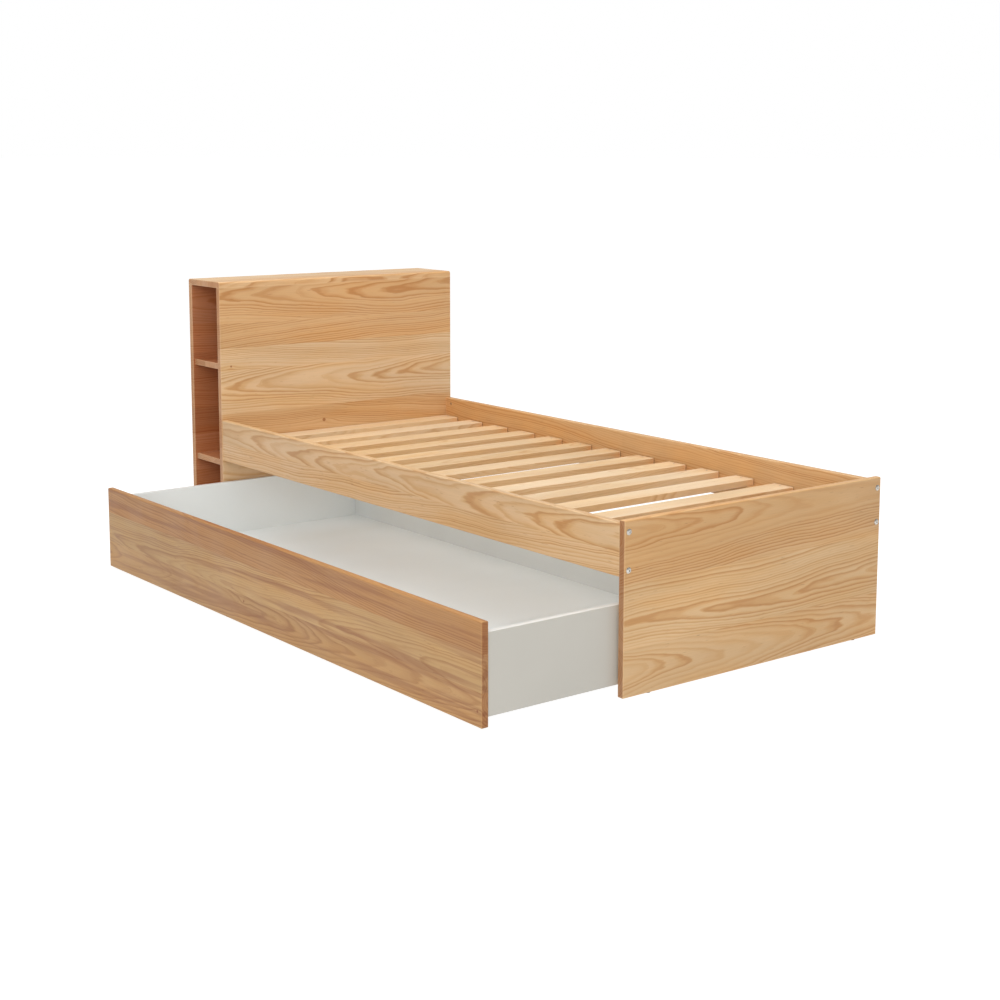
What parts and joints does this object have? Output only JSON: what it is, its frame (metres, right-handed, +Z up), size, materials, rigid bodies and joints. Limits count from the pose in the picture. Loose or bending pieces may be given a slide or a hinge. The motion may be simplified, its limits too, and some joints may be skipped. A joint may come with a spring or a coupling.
{
  "type": "trundle bed",
  "caption": "Solid pine single bed with a shelved storage headboard, slatted base and a full-length under-bed drawer that rolls out on castors.",
  "frame": {"origin": "on the floor, at the middle of the box round the bed with its drawer drawn out as stored", "axes": "+X along the bed from the headboard to the footboard, +Y from the drawer's side to the far rail, +Z up"},
  "size_m": [2.248, 1.36, 0.905],
  "materials": {
    "pine": "clear-lacquered glued pine board, knots and cathedral grain",
    "slat_pine": "planed pale pine",
    "drawer_pine": "clear-lacquered pine, a little browner with reddish streaks",
    "melamine": "white melamine-faced chipboard, satin",
    "nickel_steel": "nickel-plated steel, satin",
    "zinc_steel": "zinc-plated sheet and screws",
    "zinc_alloy": "die-cast zinc alloy",
    "beech": "turned beech dowel",
    "castor_plastic": "black moulded plastic",
    "glide_plastic": "brown moulded plastic"
  },
  "bodies": {
    "bed_frame": {"headboard_front_panel": "pine", "headboard_back_panel": "pine", "headboard_top_board": "pine", "headboard_upper_shelf": "pine", "headboard_lower_shelf": "pine", "headboard_base_shelf": "pine", "footboard": "pine", "side_rail_near": "pine", "side_rail_far": "pine", "slat_ledge_near": "pine", "slat_ledge_far": "pine", "slat_01": "slat_pine", "slat_02": "slat_pine", "slat_03": "slat_pine", "slat_04": "slat_pine", "slat_05": "slat_pine", "slat_06": "slat_pine", "slat_07": "slat_pine", "slat_08": "slat_pine", "slat_09": "slat_pine", "slat_10": "slat_pine", "slat_11": "slat_pine", "slat_12": "slat_pine", "slat_13": "slat_pine", "slat_screws": "zinc_steel", "ledge_screws": "zinc_steel", "foot_bolts": "nickel_steel", "head_bolts": "nickel_steel", "barrel_nuts": "nickel_steel", "rail_dowels": "beech", "box_dowels": "beech", "cam_bolts": "zinc_steel", "cam_locks": "zinc_alloy", "glides": "glide_plastic"},
    "drawer": {"drawer_front": "drawer_pine", "drawer_end_head": "melamine", "drawer_end_foot": "melamine", "drawer_back": "melamine", "drawer_bottom": "melamine", "drawer_dowels": "beech", "drawer_brackets": "zinc_steel", "bracket_screws": "zinc_steel", "castor_screws": "zinc_steel", "castor_axles": "zinc_steel", "castor_housing_1": "zinc_steel", "castor_housing_2": "zinc_steel", "castor_housing_3": "zinc_steel", "castor_housing_4": "zinc_steel", "castor_housing_5": "zinc_steel", "castor_housing_6": "zinc_steel"},
    "castor_1": {"castor_wheel_1": "castor_plastic"},
    "castor_2": {"castor_wheel_2": "castor_plastic"},
    "castor_3": {"castor_wheel_3": "castor_plastic"},
    "castor_4": {"castor_wheel_4": "castor_plastic"},
    "castor_5": {"castor_wheel_5": "castor_plastic"},
    "castor_6": {"castor_wheel_6": "castor_plastic"}
  },
  "joints": [
    {"name": "drawer_slide", "type": "slide", "parent": "bed_frame", "child": "drawer", "axis": [0, -1, 0], "range_m": [-0.418, 0.524]},
    {"name": "castor_spin_1", "type": "hinge", "parent": "drawer", "child": "castor_1", "pos_m": [-0.765, -0.598, 0.018], "axis": [1, 0, 0], "continuous": true},
    {"name": "castor_spin_2", "type": "hinge", "parent": "drawer", "child": "castor_2", "pos_m": [-0.765, 0.182, 0.018], "axis": [1, 0, 0], "continuous": true},
    {"name": "castor_spin_3", "type": "hinge", "parent": "drawer", "child": "castor_3", "pos_m": [0.096, -0.598, 0.018], "axis": [1, 0, 0], "continuous": true},
    {"name": "castor_spin_4", "type": "hinge", "parent": "drawer", "child": "castor_4", "pos_m": [0.096, 0.182, 0.018], "axis": [1, 0, 0], "continuous": true},
    {"name": "castor_spin_5", "type": "hinge", "parent": "drawer", "child": "castor_5", "pos_m": [0.957, -0.598, 0.018], "axis": [1, 0, 0], "continuous": true},
    {"name": "castor_spin_6", "type": "hinge", "parent": "drawer", "child": "castor_6", "pos_m": [0.957, 0.182, 0.018], "axis": [1, 0, 0], "continuous": true}
  ],
  "couplings": [
    {"joint": "castor_spin_1", "follows": "drawer_slide", "rad_per_m": 55.556},
    {"joint": "castor_spin_2", "follows": "drawer_slide", "rad_per_m": 55.556},
    {"joint": "castor_spin_3", "follows": "drawer_slide", "rad_per_m": 55.556},
    {"joint": "castor_spin_4", "follows": "drawer_slide", "rad_per_m": 55.556},
    {"joint": "castor_spin_5", "follows": "drawer_slide", "rad_per_m": 55.556},
    {"joint": "castor_spin_6", "follows": "drawer_slide", "rad_per_m": 55.556}
  ]
}
